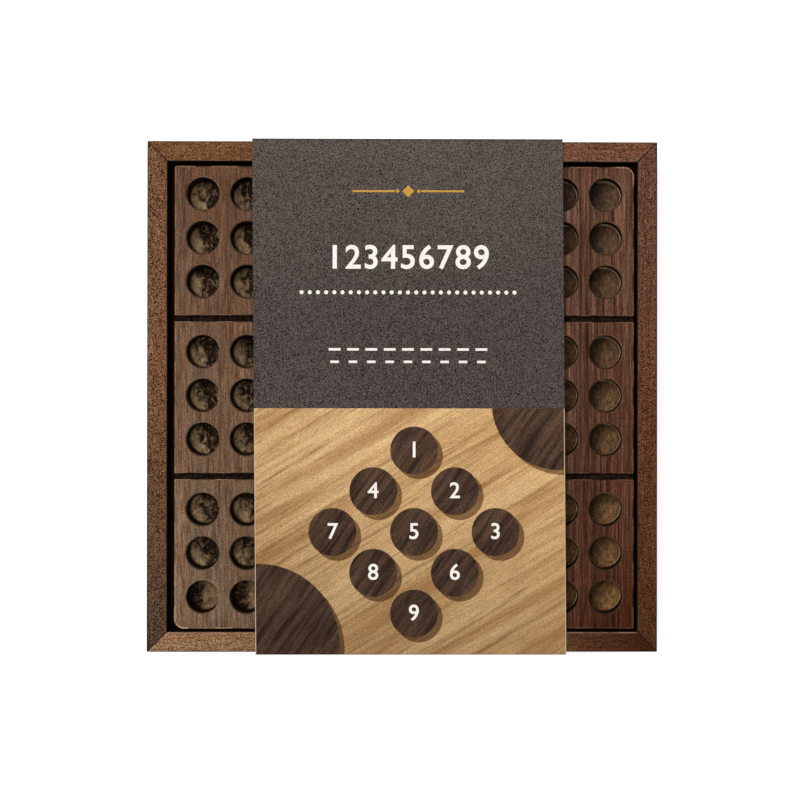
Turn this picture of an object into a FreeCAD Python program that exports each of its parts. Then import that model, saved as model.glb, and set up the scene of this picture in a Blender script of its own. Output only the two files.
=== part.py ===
import FreeCAD, Part
import os
import Sketcher

# A wooden sudoku box: four mitred rails, a thin bottom, ledge strips, a loose plank of 81 peg holes,
# the pegs and the folded guide in the tray below it, and a card sleeve that slides off sideways.
# The origin is the middle of the sleeve's underside. +Z is up and +Y is the back of the box.

doc = FreeCAD.newDocument("SudokuBox")
sizes = doc.addObject("Spreadsheet::Sheet", "Sizes")

# Driving dimensions, in millimetres.
DIMENSIONS = {
    # the box frame
    "box_side": 156,
    "box_height": 27,
    "rail_thick": 6,
    "edge_ease": 0.5,
    "corner_nip": 0.3,
    "rabbet_size": 3,
    # the finger notches in the back and front rails
    "notch_width": 24,
    "notch_depth": 8.75,
    "notch_round": 6,
    "notch_shoulder": 2.5,
    # the plywood bottom and the pins that hold it
    "bottom_side": 149.8,
    "bottom_thick": 3,
    "brad_diameter": 1.2,
    "brad_length": 9,
    "brad_head": 2.4,
    "brad_spread": 45,
    # the ledge strips
    "ledge_width": 4,
    "ledge_height": 10.5,
    # the plank, its grooves and its holes
    "plank_width": 140.9,
    "plank_length": 141.8,
    "plank_thick": 12,
    "plank_shift_x": 0.65,
    "plank_shift_y": -0.25,
    "plank_round": 3,
    "plank_nip": 0.6,
    "groove_width": 1.85,
    "groove_depth": 2.5,
    "hole_diameter": 10,
    "hole_depth": 9,
    "hole_rim": 0.4,
    "hole_pitch": 13.4,
    "block_pitch": 48.3,
    "hole_shift_y": 0.65,
    # the pegs, lying in the tray
    "peg_diameter": 8,
    "peg_length": 19,
    "peg_gap": 0.3,
    "peg_wall_gap": 0.45,
    # the folded guide, lying on the bottom
    "guide_side": 128,
    "cover_thick": 0.25,
    "pages_thick": 0.5,
    "pages_inset": 0.6,
    "staple_wire": 0.4,
    "staple_width": 11,
    "staple_leg": 3,
    "staple_spread": 34,
    # the card sleeve
    "card_thick": 0.5,
    "sleeve_width": 94.8,
    "sleeve_shift": 2.07,
    "sleeve_skew": 1.24,
    "sleeve_side_gap": 0.3,
    "sleeve_top_gap": 0.3,
    "fold_round": 0.8,
    # how far a cutting outline reaches past the wood
    "cut_clear": 1,
}
for row, (name, number) in enumerate(DIMENSIONS.items(), 1):
    sizes.set(f"A{row}", name)
    sizes.set(f"B{row}", str(number))
    sizes.setAlias(f"B{row}", name)
doc.recompute()

FIGURES = range(1, 10)
PEGS_PER_FIGURE = 9
PEGS_IN_A_ROW = 7
BLOCKS_ACROSS = 3
HOLES_ACROSS_BLOCK = 3
TURNS = {"front": 0, "right": 90, "back": 180, "left": 270}
UP = FreeCAD.Vector(0, 0, 1)
TINY = 0.001

# Levels and places that several pieces share, as expressions.
HALF_SIDE = "Sizes.box_side / 2"
INNER_FACE = "(Sizes.box_side / 2 - Sizes.rail_thick)"
BOX_BASE = "Sizes.card_thick"
TRAY_FLOOR = "(Sizes.card_thick + Sizes.bottom_thick)"
GUIDE_THICK = "(2 * Sizes.cover_thick + Sizes.pages_thick)"
SLEEVE_HEIGHT = "(Sizes.box_height + 2 * Sizes.card_thick + Sizes.sleeve_top_gap)"
SLEEVE_REACH = "(Sizes.box_side / 2 + Sizes.sleeve_side_gap + Sizes.card_thick)"


def value(expression):
    """The number that an expression on the sheet comes to."""
    return float(sizes.evalExpression(expression))


def bind(thing, **expressions):
    """Bind properties, named with two underscores for each dot, to expressions on the sheet."""
    for name, expression in expressions.items():
        thing.setExpression(name.replace("__", "."), expression)
    return thing


def new_body(label):
    return label_as(doc.addObject("PartDesign::Body", label + "_body"), label)


def label_as(thing, label):
    thing.Label = label
    return thing


def new_sketch(body, name, role="XY_Plane", offset="0"):
    """A sketch on one of the body's own origin planes, moved along the plane's normal by offset."""
    sketch = body.newObject("Sketcher::SketchObject", f"{body.Label}_{name}")
    plane = next(f for f in body.Origin.OriginFeatures if f.Role == role)
    sketch.AttachmentSupport = [(plane, "")]
    sketch.MapMode = "FlatFace"
    return bind(sketch, AttachmentOffset__Base__z=offset)


def hold_point(sketch, edge, vertex, x, y):
    """Hold a point of a sketch at the expressions x and y from the sketch's origin."""
    for kind, expression in (("DistanceX", x), ("DistanceY", y)):
        constraint = Sketcher.Constraint(kind, -1, 1, edge, vertex, value(expression))
        number = sketch.addConstraint(constraint)
        sketch.setExpression(f"Constraints[{number}]", expression)


def draw_outline(sketch, corners):
    """Draw a closed outline of straight sides through corners, each a pair of expressions."""
    points = [FreeCAD.Vector(value(x), value(y), 0) for x, y in corners]
    first = sketch.GeometryCount
    for start, end in zip(points, points[1:] + points[:1]):
        sketch.addGeometry(Part.LineSegment(start, end), False)
    for number, (x, y) in enumerate(corners):
        after = first + (number + 1) % len(corners)
        sketch.addConstraint(Sketcher.Constraint("Coincident", first + number, 2, after, 1))
        hold_point(sketch, first + number, 1, x, y)


def draw_rectangle(sketch, low_x, low_y, high_x, high_y):
    draw_outline(sketch, [(low_x, low_y), (high_x, low_y), (high_x, high_y), (low_x, high_y)])


def draw_circle(sketch, x, y, diameter):
    centre = FreeCAD.Vector(value(x), value(y), 0)
    edge = sketch.addGeometry(Part.Circle(centre, UP, value(diameter) / 2), False)
    hold_point(sketch, edge, 3, x, y)
    number = sketch.addConstraint(Sketcher.Constraint("Diameter", edge, value(diameter)))
    sketch.setExpression(f"Constraints[{number}]", diameter)


def pad(body, sketch, length):
    feature = body.newObject("PartDesign::Pad", sketch.Name + "_pad")
    feature.Profile = sketch
    bind(feature, Length=length)
    doc.recompute()
    return feature


def pocket(body, sketch, length=None, turned=False, both_ways=False):
    """Cut a sketch out of a body, to a length or right through, and check that it removes wood."""
    before = body.Shape.Volume
    feature = body.newObject("PartDesign::Pocket", sketch.Name + "_pocket")
    feature.Profile = sketch
    feature.Reversed = turned
    feature.Midplane = both_ways
    if length:
        bind(feature, Length=length)
    else:
        feature.Type = "ThroughAll"
    doc.recompute()
    if body.Shape.Volume > before - TINY:
        raise RuntimeError(f"{feature.Name} cuts nothing")
    return feature


def round_edges(body, name, radius, wanted):
    """Fillet the edges of a body's last feature that wanted picks by their box in the body's own frame."""
    base = body.Tip
    picked = [f"Edge{n}" for n, edge in enumerate(base.Shape.Edges, 1) if wanted(edge.BoundBox)]
    feature = body.newObject("PartDesign::Fillet", f"{body.Label}_{name}")
    feature.Base = (base, picked)
    bind(feature, Radius=radius)
    doc.recompute()
    return feature


def near(number, expression):
    return abs(number - value(expression)) < TINY


def runs_along_y(box, x, z):
    """Is this the box of an edge parallel to Y at these expressions for x and z?"""
    thin = box.XLength < TINY and box.ZLength < TINY
    return thin and near(box.XMin, x) and near(box.ZMin, z)


def rail(side, notched):
    """One mitred rail, drawn as the front rail about the box's middle and turned to its side."""
    body = new_body("rail_" + side)
    tip = f"({HALF_SIDE} - Sizes.corner_nip)"
    mitre_tip = f"({HALF_SIDE} - Sizes.corner_nip / 2)"
    plan = new_sketch(body, "plan")
    draw_outline(
        plan,
        [
            (f"-{tip}", f"-{HALF_SIDE}"),
            (tip, f"-{HALF_SIDE}"),
            (mitre_tip, f"-{mitre_tip}"),
            (INNER_FACE, f"-{INNER_FACE}"),
            (f"-{INNER_FACE}", f"-{INNER_FACE}"),
            (f"-{mitre_tip}", f"-{mitre_tip}"),
        ],
    )
    pad(body, plan, "Sizes.box_height")
    rabbet = new_sketch(body, "rabbet")
    draw_rectangle(
        rabbet,
        f"-{HALF_SIDE}",
        f"-({INNER_FACE} + Sizes.rabbet_size)",
        HALF_SIDE,
        f"-({INNER_FACE} - Sizes.edge_ease)",
    )
    pocket(body, rabbet, "Sizes.rabbet_size", turned=True)
    if notched:
        cut_notch(body)
    cut_brad_holes(body)
    outer, inner = f"-{HALF_SIDE}", f"-{INNER_FACE}"

    def is_eased(box):
        """The long top edges and the lower outer edge, and the rim of a notch."""
        flat = box.YLength < TINY
        on_rim = box.ZMin > value("Sizes.box_height - Sizes.notch_depth") - TINY
        on_face = near(box.YMin, outer) or near(box.YMin, inner)
        lower_outer = near(box.YMin, outer) and box.ZMax < TINY
        return flat and (on_face and on_rim or lower_outer)

    round_edges(body, "ease", "Sizes.edge_ease", is_eased)
    body.Placement.Rotation = FreeCAD.Rotation(UP, TURNS[side])
    return bind(body, Placement__Base__z=BOX_BASE)


def cut_notch(body):
    """The finger notch in the middle of a rail's top edge."""
    half_width = "Sizes.notch_width / 2"
    floor = "(Sizes.box_height - Sizes.notch_depth)"
    profile = new_sketch(body, "notch", "XZ_Plane")
    draw_rectangle(profile, f"-{half_width}", floor, half_width, "Sizes.box_height + Sizes.cut_clear")
    pocket(body, profile, turned=True)
    sides = (half_width, f"-{half_width}")
    round_edges(
        body,
        "notch_floor",
        "Sizes.notch_round",
        lambda box: any(runs_along_y(box, x, floor) for x in sides),
    )
    round_edges(
        body,
        "notch_shoulders",
        "Sizes.notch_shoulder",
        lambda box: any(runs_along_y(box, x, "Sizes.box_height") for x in sides),
    )


def brad_places():
    """Plan places of the pins, two on each side, along the middle of the rabbet."""
    line = f"({INNER_FACE} + Sizes.rabbet_size / 2)"
    for along in ("Sizes.brad_spread", "-Sizes.brad_spread"):
        yield along, f"-{line}"
        yield along, line
        yield line, along
        yield f"-{line}", along


def cut_brad_holes(body):
    """The two pin holes in a rail, which is drawn as the front rail."""
    holes = new_sketch(body, "brad_holes")
    for x, y in brad_places():
        if near(value(y), f"-({INNER_FACE} + Sizes.rabbet_size / 2)"):
            draw_circle(holes, x, y, "Sizes.brad_diameter")
    pocket(body, holes, "Sizes.brad_length", turned=True)


def bottom_panel():
    """The plywood bottom, in the rabbet of the rails, with its pin holes."""
    body = new_body("base_panel")
    half = "Sizes.bottom_side / 2"
    plan = new_sketch(body, "plan")
    draw_rectangle(plan, f"-{half}", f"-{half}", half, half)
    pad(body, plan, "Sizes.bottom_thick")
    holes = new_sketch(body, "brad_holes")
    heads = new_sketch(body, "brad_heads")
    for x, y in brad_places():
        draw_circle(holes, x, y, "Sizes.brad_diameter")
        draw_circle(heads, x, y, "Sizes.brad_head")
    pocket(body, holes, turned=True)
    pocket(body, heads, "Sizes.brad_diameter / 2", turned=True)
    return bind(body, Placement__Base__z=BOX_BASE)


def gather(label, pieces):
    """Several equal pieces as one sub-part of separate solids."""
    group = label_as(doc.addObject("Part::Compound", label + "_group"), label)
    group.Links = pieces
    return group


def brads():
    """The eight pins, each a shank and a flat head let into the bottom."""
    made = []
    for number, (x, y) in enumerate(brad_places(), 1):
        shank = doc.addObject("Part::Cylinder", f"brad_{number}_shank")
        head = doc.addObject("Part::Cylinder", f"brad_{number}_head")
        bind(shank, Radius="Sizes.brad_diameter / 2", Height="Sizes.brad_length")
        bind(head, Radius="Sizes.brad_head / 2", Height="Sizes.brad_diameter / 2")
        for round_part in (shank, head):
            bind(round_part, Placement__Base__x=x, Placement__Base__y=y)
            bind(round_part, Placement__Base__z=BOX_BASE)
        brad = doc.addObject("Part::Fuse", f"brad_{number}")
        brad.Base = shank
        brad.Tool = head
        made.append(brad)
    return gather("base_brads", made)


def ledge(side, is_long):
    """A strip on the inner face of a rail, which carries the plank. The side ones run full length."""
    body = new_body("ledge_" + side)
    run = INNER_FACE if is_long else f"({INNER_FACE} - Sizes.ledge_width)"
    plan = new_sketch(body, "plan")
    draw_rectangle(
        plan,
        f"-{run}",
        f"-{INNER_FACE}",
        run,
        f"-({INNER_FACE} - Sizes.ledge_width)",
    )
    pad(body, plan, "Sizes.ledge_height")
    body.Placement.Rotation = FreeCAD.Rotation(UP, TURNS[side])
    return bind(body, Placement__Base__z=TRAY_FLOOR)


def cut_grooves(body, name, half_run, along_x):
    """The two saw grooves one way across the plank, between its blocks."""
    sketch = new_sketch(body, name, offset="Sizes.plank_thick")
    reach = f"({half_run} + Sizes.plank_nip)"
    for side in ("-", ""):
        middle = f"{side}Sizes.block_pitch / 2"
        low = f"({middle} - Sizes.groove_width / 2)"
        high = f"({middle} + Sizes.groove_width / 2)"
        if along_x:
            draw_rectangle(sketch, f"-{reach}", low, reach, high)
        else:
            draw_rectangle(sketch, low, f"-{reach}", high, reach)
    pocket(body, sketch, "Sizes.groove_depth")


def peg_plank():
    """The loose plank: rounded corners, saw grooves between the blocks, and 81 blind holes."""
    body = new_body("peg_board")
    half_x, half_y = "Sizes.plank_width / 2", "Sizes.plank_length / 2"
    plan = new_sketch(body, "plan")
    draw_rectangle(plan, f"-{half_x}", f"-{half_y}", half_x, half_y)
    pad(body, plan, "Sizes.plank_thick")

    def is_corner(box, same_sign):
        upright = box.XLength < TINY and box.YLength < TINY
        return upright and (box.XMin * box.YMin > 0) == same_sign

    round_edges(body, "rounds", "Sizes.plank_round", lambda box: is_corner(box, True))
    round_edges(
        body,
        "nips",
        "Sizes.plank_nip",
        lambda box: is_corner(box, False) and near(abs(box.XMin), half_x) and near(abs(box.YMin), half_y),
    )
    round_edges(
        body,
        "ease",
        "Sizes.edge_ease",
        lambda box: box.ZLength < TINY and near(box.ZMin, "Sizes.plank_thick"),
    )
    cut_grooves(body, "grooves", half_x, along_x=True)
    cut_grooves(body, "cross_grooves", half_y, along_x=False)
    cut_peg_holes(body)
    level = f"{TRAY_FLOOR} + Sizes.ledge_height"
    bind(body, Placement__Base__x="Sizes.plank_shift_x", Placement__Base__y="Sizes.plank_shift_y")
    return bind(body, Placement__Base__z=level)


def cut_peg_holes(body):
    """One turned hole with an eased rim and a flat floor, repeated over the nine blocks."""
    first_x = "(-Sizes.block_pitch - Sizes.hole_pitch)"
    top = "Sizes.plank_thick"
    floor = "(Sizes.plank_thick - Sizes.hole_depth)"
    radius = "Sizes.hole_diameter / 2"
    offset = "Sizes.block_pitch + Sizes.hole_pitch - Sizes.hole_shift_y"
    profile = new_sketch(body, "hole", "XZ_Plane", offset)
    draw_outline(
        profile,
        [
            (first_x, f"({top} + Sizes.cut_clear)"),
            (first_x, floor),
            (f"({first_x} + {radius})", floor),
            (f"({first_x} + {radius})", f"({top} - Sizes.hole_rim)"),
            (f"({first_x} + {radius} + Sizes.hole_rim)", top),
            (f"({first_x} + {radius} + Sizes.hole_rim)", f"({top} + Sizes.cut_clear)"),
        ],
    )
    before = body.Shape.Volume
    hole = body.newObject("PartDesign::Groove", "peg_board_hole_cut")
    hole.Profile = profile
    hole.ReferenceAxis = (profile, ["Edge1"])
    hole.Angle = 360
    doc.recompute()
    one_hole = before - body.Shape.Volume
    grid = body.newObject("PartDesign::MultiTransform", "peg_board_holes")
    grid.Originals = [hole]
    steps = [
        ("X_Axis", "Sizes.hole_pitch", HOLES_ACROSS_BLOCK),
        ("Y_Axis", "Sizes.hole_pitch", HOLES_ACROSS_BLOCK),
        ("X_Axis", "Sizes.block_pitch", BLOCKS_ACROSS),
        ("Y_Axis", "Sizes.block_pitch", BLOCKS_ACROSS),
    ]
    rows = []
    for number, (axis, pitch, count) in enumerate(steps, 1):
        row = body.newObject("PartDesign::LinearPattern", f"peg_board_row_{number}")
        direction = next(f for f in body.Origin.OriginFeatures if f.Role == axis)
        row.Direction = (direction, [""])
        row.Occurrences = count
        bind(row, Length=f"{pitch} * {count - 1}")
        rows.append(row)
    grid.Transformations = rows
    body.Tip = grid
    doc.recompute()
    holes = (HOLES_ACROSS_BLOCK * BLOCKS_ACROSS) ** 2
    print("peg holes", holes, "cut", round((before - body.Shape.Volume) / one_hole, 2))


def pegs():
    """Nine pegs for each figure, lying in rows on the guide, from the back of the tray forwards."""
    made = {figure: [] for figure in FIGURES}
    for slot in range(PEGS_PER_FIGURE * len(FIGURES)):
        figure = FIGURES[slot // PEGS_PER_FIGURE]
        row, column = divmod(slot, PEGS_IN_A_ROW)
        across = f"({column} - {(PEGS_IN_A_ROW - 1) / 2}) * (Sizes.peg_length + Sizes.peg_gap)"
        first_row = f"({INNER_FACE} - Sizes.ledge_width - Sizes.peg_wall_gap - Sizes.peg_diameter / 2)"
        along = f"{first_row} - {row} * (Sizes.peg_diameter + Sizes.peg_gap)"
        level = f"{TRAY_FLOOR} + {GUIDE_THICK} + Sizes.peg_diameter / 2"
        shaft = doc.addObject("Part::Cylinder", f"peg_{slot + 1}_shaft")
        shaft.Placement.Rotation = FreeCAD.Rotation(FreeCAD.Vector(0, 1, 0), 90)
        bind(shaft, Radius="Sizes.peg_diameter / 2", Height="Sizes.peg_length")
        bind(shaft, Placement__Base__x=f"{across} - Sizes.peg_length / 2")
        dome = doc.addObject("Part::Sphere", f"peg_{slot + 1}_dome")
        bind(dome, Radius="Sizes.peg_length / 2", Placement__Base__x=across)
        for round_part in (shaft, dome):
            bind(round_part, Placement__Base__y=along, Placement__Base__z=level)
        peg = doc.addObject("Part::Common", f"peg_{slot + 1}")
        peg.Base = shaft
        peg.Tool = dome
        made[figure].append(peg)
    return [gather(f"pegs_{figure}", made[figure]) for figure in FIGURES]


def guide():
    """The folded guide: a cover sheet folded round the page block, and two wire staples in the fold."""
    half = "Sizes.guide_side / 2"
    cover = new_body("guide_cover")
    fold = new_sketch(cover, "fold", "XZ_Plane")
    draw_outline(
        fold,
        [
            (f"-{half}", "0"),
            (half, "0"),
            (half, "Sizes.cover_thick"),
            (f"-({half} - Sizes.cover_thick)", "Sizes.cover_thick"),
            (f"-({half} - Sizes.cover_thick)", f"({GUIDE_THICK} - Sizes.cover_thick)"),
            (half, f"({GUIDE_THICK} - Sizes.cover_thick)"),
            (half, GUIDE_THICK),
            (f"-{half}", GUIDE_THICK),
        ],
    )
    pad(cover, fold, "Sizes.guide_side").Midplane = True
    bind(cover, Placement__Base__z=TRAY_FLOOR)
    pages = new_body("guide_pages")
    plan = new_sketch(pages, "plan")
    trim = f"({half} - Sizes.pages_inset)"
    draw_rectangle(plan, f"-({half} - Sizes.cover_thick)", f"-{trim}", trim, trim)
    pad(pages, plan, "Sizes.pages_thick")
    bind(pages, Placement__Base__z=f"{TRAY_FLOOR} + Sizes.cover_thick")
    return [cover, pages, staples(half)]


def staples(half):
    """Each staple is a crown on the outside of the fold and two legs in the middle of the pages."""
    made = []
    middle = f"{TRAY_FLOOR} + {GUIDE_THICK} / 2 - Sizes.staple_wire / 2"
    crown_x = f"-{half} - Sizes.staple_wire"
    for number, along in enumerate(("-Sizes.staple_spread", "Sizes.staple_spread"), 1):
        low_y = f"{along} - Sizes.staple_width / 2"
        high_y = f"{along} + Sizes.staple_width / 2 - Sizes.staple_wire"
        bars = []
        for part, y, reach_x, reach_y in (
            ("crown", low_y, "Sizes.staple_wire", "Sizes.staple_width"),
            ("leg_a", low_y, "Sizes.staple_leg", "Sizes.staple_wire"),
            ("leg_b", high_y, "Sizes.staple_leg", "Sizes.staple_wire"),
        ):
            bar = doc.addObject("Part::Box", f"staple_{number}_{part}")
            bind(bar, Length=reach_x, Width=reach_y, Height="Sizes.staple_wire")
            bind(bar, Placement__Base__x=crown_x, Placement__Base__y=y, Placement__Base__z=middle)
            bars.append(bar)
        staple = doc.addObject("Part::MultiFuse", f"staple_{number}")
        staple.Shapes = bars
        made.append(staple)
    return gather("guide_staples", made)


def card_sleeve():
    """The card sleeve: a flat tube round the back, top, front and bottom, with its ends cut on a skew."""
    body = new_body("card_sleeve")
    back, front = SLEEVE_REACH, f"-{SLEEVE_REACH}"
    half = "Sizes.sleeve_width / 2"
    lean = "Sizes.sleeve_skew / 2"
    plan = new_sketch(body, "plan")
    draw_outline(
        plan,
        [
            (f"-{half} + {lean}", front),
            (f"{half} + {lean}", front),
            (f"{half} - {lean}", back),
            (f"-{half} - {lean}", back),
        ],
    )
    pad(body, plan, SLEEVE_HEIGHT)
    inside = f"({SLEEVE_REACH} - Sizes.card_thick)"
    ceiling = f"({SLEEVE_HEIGHT} - Sizes.card_thick)"
    hollow = new_sketch(body, "hollow", "YZ_Plane")
    draw_rectangle(hollow, f"-{inside}", "Sizes.card_thick", inside, ceiling)
    pocket(body, hollow, both_ways=True)

    def is_fold(box):
        """The four long edges on the outside, along X."""
        outer_y = near(abs(box.YMin), SLEEVE_REACH)
        outer_z = near(box.ZMin, "0") or near(box.ZMin, SLEEVE_HEIGHT)
        return box.YLength < TINY and box.ZLength < TINY and outer_y and outer_z

    round_edges(body, "folds", "Sizes.fold_round", is_fold)
    return bind(body, Placement__Base__x="Sizes.sleeve_shift")


sub_parts = [rail(side, side in ("back", "front")) for side in TURNS]
sub_parts += [bottom_panel(), brads()]
sub_parts += [ledge(side, side in ("left", "right")) for side in TURNS]
sub_parts += [peg_plank()]
sub_parts += pegs()
sub_parts += guide()
sub_parts += [card_sleeve()]
doc.recompute()

for thing in doc.Objects:
    if {"Invalid", "Error"} & set(thing.State):
        raise RuntimeError(f"{thing.Label} failed: {thing.State}")
for sub_part in sub_parts:
    if sub_part.Shape.isNull() or not sub_part.Shape.isValid():
        raise RuntimeError(f"{sub_part.Label} has no valid shape")

os.makedirs("parts", exist_ok=True)
for sub_part in sub_parts:
    sub_part.Shape.exportStep(f"parts/{sub_part.Label}.step")
    box = sub_part.Shape.BoundBox
    print(
        f"{sub_part.Label:14s} solids {len(sub_part.Shape.Solids):2d} volume {sub_part.Shape.Volume:10.1f}",
        f"x {box.XMin:7.2f} {box.XMax:7.2f}  y {box.YMin:7.2f} {box.YMax:7.2f}",
        f"z {box.ZMin:6.2f} {box.ZMax:6.2f}",
    )
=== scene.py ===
import math

import bpy
from mathutils import Euler, Matrix, Vector, noise


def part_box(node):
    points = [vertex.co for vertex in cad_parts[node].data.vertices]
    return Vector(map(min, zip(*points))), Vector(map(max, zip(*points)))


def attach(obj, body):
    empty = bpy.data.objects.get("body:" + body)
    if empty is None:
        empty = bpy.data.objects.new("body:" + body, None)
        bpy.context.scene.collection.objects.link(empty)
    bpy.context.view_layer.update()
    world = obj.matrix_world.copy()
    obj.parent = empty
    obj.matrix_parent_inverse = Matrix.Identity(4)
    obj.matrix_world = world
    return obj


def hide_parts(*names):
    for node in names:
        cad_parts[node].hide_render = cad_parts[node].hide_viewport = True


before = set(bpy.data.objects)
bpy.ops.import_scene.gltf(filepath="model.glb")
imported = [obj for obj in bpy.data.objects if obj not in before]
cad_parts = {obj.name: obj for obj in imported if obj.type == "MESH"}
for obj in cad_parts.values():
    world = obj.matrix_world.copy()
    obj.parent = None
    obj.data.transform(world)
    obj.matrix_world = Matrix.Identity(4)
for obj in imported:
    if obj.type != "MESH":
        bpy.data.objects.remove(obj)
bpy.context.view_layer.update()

MM = 0.001

# The studio: a pale floor, an even pale room, a soft light from the upper left and a weaker one overhead.
# The camera looks down from a little over half a metre, a touch to the left of the middle.
VIEW_WIDTH = 244.4 * MM
VIEW_CENTRE = (-0.75 * MM, -1.04 * MM)
CAMERA_RISE = 560 * MM
CAMERA_TURN = (0.2, -0.6, 0.07)
SENSOR = 36.0
ROOM_STRENGTH = 0.42
LAMP_TINT = (1.0, 0.985, 0.96)
FLOOR_GREY = 0.82
FLOOR_GLOW = 0.62
FLOOR_SIDE = 6.0
FLOOR_DROP = 0.1 * MM
rail_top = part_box("rail_left")[1].z


def new_material(name):
    """A material, its node tree and its surface shader."""
    material = bpy.data.materials.new(name)
    material.use_nodes = True
    return material, material.node_tree, material.node_tree.nodes["Principled BSDF"]


def plug(tree, socket, value):
    """Give a socket a plain value, or the output of another node."""
    if isinstance(value, bpy.types.NodeSocket):
        tree.links.new(value, socket)
    else:
        socket.default_value = value


def reckon(tree, how, *values):
    """The result of a Math node on sockets or plain values."""
    node = tree.nodes.new("ShaderNodeMath")
    node.operation = how
    for socket, value in zip(node.inputs, values):
        plug(tree, socket, value)
    return node.outputs[0]


def backdrop_mask(tree):
    """1 where a ray comes from the camera, a mirror or a glass surface, which all see the white room."""
    path = tree.nodes.new("ShaderNodeLightPath").outputs
    mirrored = reckon(tree, "MAXIMUM", path["Is Glossy Ray"], path["Is Transmission Ray"])
    return reckon(tree, "MAXIMUM", path["Is Camera Ray"], mirrored)


camera_data = bpy.data.cameras.new("camera")
camera_data.sensor_width = SENSOR
camera_data.lens = SENSOR * CAMERA_RISE / VIEW_WIDTH
camera = bpy.data.objects.new("camera", camera_data)
camera.rotation_euler = Euler([math.radians(turn) for turn in CAMERA_TURN])
rise = camera.rotation_euler.to_matrix() @ Vector((0, 0, CAMERA_RISE))
camera.location = Vector((*VIEW_CENTRE, rail_top)) + rise
bpy.context.scene.collection.objects.link(camera)
bpy.context.scene.camera = camera
bpy.context.scene.view_settings.view_transform = "Standard"

world = bpy.data.worlds.new("room")
world.use_nodes = True
bpy.context.scene.world = world
room = world.node_tree
room_light = room.nodes["Background"]
room_light.inputs["Color"].default_value = (*LAMP_TINT, 1.0)
room_light.inputs["Strength"].default_value = ROOM_STRENGTH
room_white = room.nodes.new("ShaderNodeBackground")
room_white.inputs["Color"].default_value = (1.0, 1.0, 1.0, 1.0)
room_mix = room.nodes.new("ShaderNodeMixShader")
plug(room, room_mix.inputs["Fac"], backdrop_mask(room))
plug(room, room_mix.inputs[1], room_light.outputs[0])
plug(room, room_mix.inputs[2], room_white.outputs[0])
plug(room, room.nodes["World Output"].inputs["Surface"], room_mix.outputs[0])


def soft_light(name, place, size, power):
    """A square lamp that looks at the middle of the object."""
    data = bpy.data.lights.new(name, "AREA")
    data.size = size
    data.energy = power
    data.color = LAMP_TINT
    lamp = bpy.data.objects.new(name, data)
    lamp.location = place
    lamp.rotation_euler = (-Vector(place)).to_track_quat("-Z", "Y").to_euler()
    bpy.context.scene.collection.objects.link(lamp)


soft_light("upper_left", (-0.42, 0.25, 1.15), 0.5, 8.0)
soft_light("overhead", (0.15, -0.05, 1.30), 0.9, 3.0)

bpy.ops.mesh.primitive_plane_add(size=FLOOR_SIDE, location=(0, 0, -FLOOR_DROP))
floor = bpy.context.object
floor.name = "floor"
floor_paint, tree, surface = new_material("floor_paint")
surface.inputs["Base Color"].default_value = (FLOOR_GREY, FLOOR_GREY, FLOOR_GREY, 1.0)
surface.inputs["Roughness"].default_value = 0.9
glow = tree.nodes.new("ShaderNodeEmission")
plug(tree, glow.inputs["Strength"], reckon(tree, "MULTIPLY", backdrop_mask(tree), FLOOR_GLOW))
glowing = tree.nodes.new("ShaderNodeAddShader")
plug(tree, glowing.inputs[0], surface.outputs[0])
plug(tree, glowing.inputs[1], glow.outputs[0])
plug(tree, tree.nodes["Material Output"].inputs["Surface"], glowing.outputs[0])
floor.data.materials.append(floor_paint)

# The four rails are hardwood under a brown stain, each turning from one tone to another along its length,
# mitred and glued at the corners, with a dark glue line in each mitre. Painted shade darkens their outer
# edges, and their inner faces below the lip, down the gap above the tray.
# Looks: two end tones, middle and half length in mm of the turn between them, specks, paleness of the lip.
RAIL_LOOKS = {
    "rail_left": {"tones": ((69, 56, 46), (112, 80, 57)), "turn": (-35, 45), "speck": 1.0, "lip_paleness": 0.3},
    "rail_right": {"tones": ((77, 50, 32), (103, 71, 57)), "turn": (0, 78), "speck": 0.85, "lip_paleness": 0.0},
    "rail_back": {"tones": ((105, 74, 49), (107, 75, 60)), "turn": (0, 78), "speck": 0.8, "lip_paleness": 0.5},
    "rail_front": {"tones": ((147, 116, 87), (63, 37, 21)), "turn": (0, 78), "speck": 0.63, "lip_paleness": 0.9},
}
# noise patches to the metre in the finest specks, and seeds that keep the rails' tops where it is strong
SPECKS = (4200, 4200, 1300)
RAIL_SEEDS = (6, 2, 3, 9)
PALE_LIP = (168, 136, 116)
RAIL_THICK = 6.0 * MM
RAIL_EASE = 0.5 * MM
GLUE_LINE = 0.28 * MM
# dark of the pores and glue lines, and of the rails' painted shade
DEEP_STAIN_AND_SHADE = (30, 18, 11)
ROOM_SHEEN = 0.008
WOOD_SHINE = 0.048
rail_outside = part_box("rail_right")[1].x
rail_inside = rail_outside - RAIL_THICK


def colour(red, green, blue):
    """A colour as it is seen on a screen, from 0 to 255, as the linear values that a shader takes."""
    linear = [((v / 255 + 0.055) / 1.055) ** 2.4 if v > 10 else v / 255 / 12.92 for v in (red, green, blue)]
    return (*linear, 1.0)


def stained(tone):
    """The colour to give dark wood that looks like this tone under the sheen that a pale room adds."""
    return (*(max(channel - ROOM_SHEEN, 0.002) for channel in colour(*tone)[:3]), 1.0)


def placed(tree, axis):
    """The object coordinate along one axis, in metres."""
    parts = tree.nodes.new("ShaderNodeSeparateXYZ")
    plug(tree, parts.inputs[0], tree.nodes.new("ShaderNodeTexCoord").outputs["Object"])
    return parts.outputs[axis.upper()]


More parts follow.
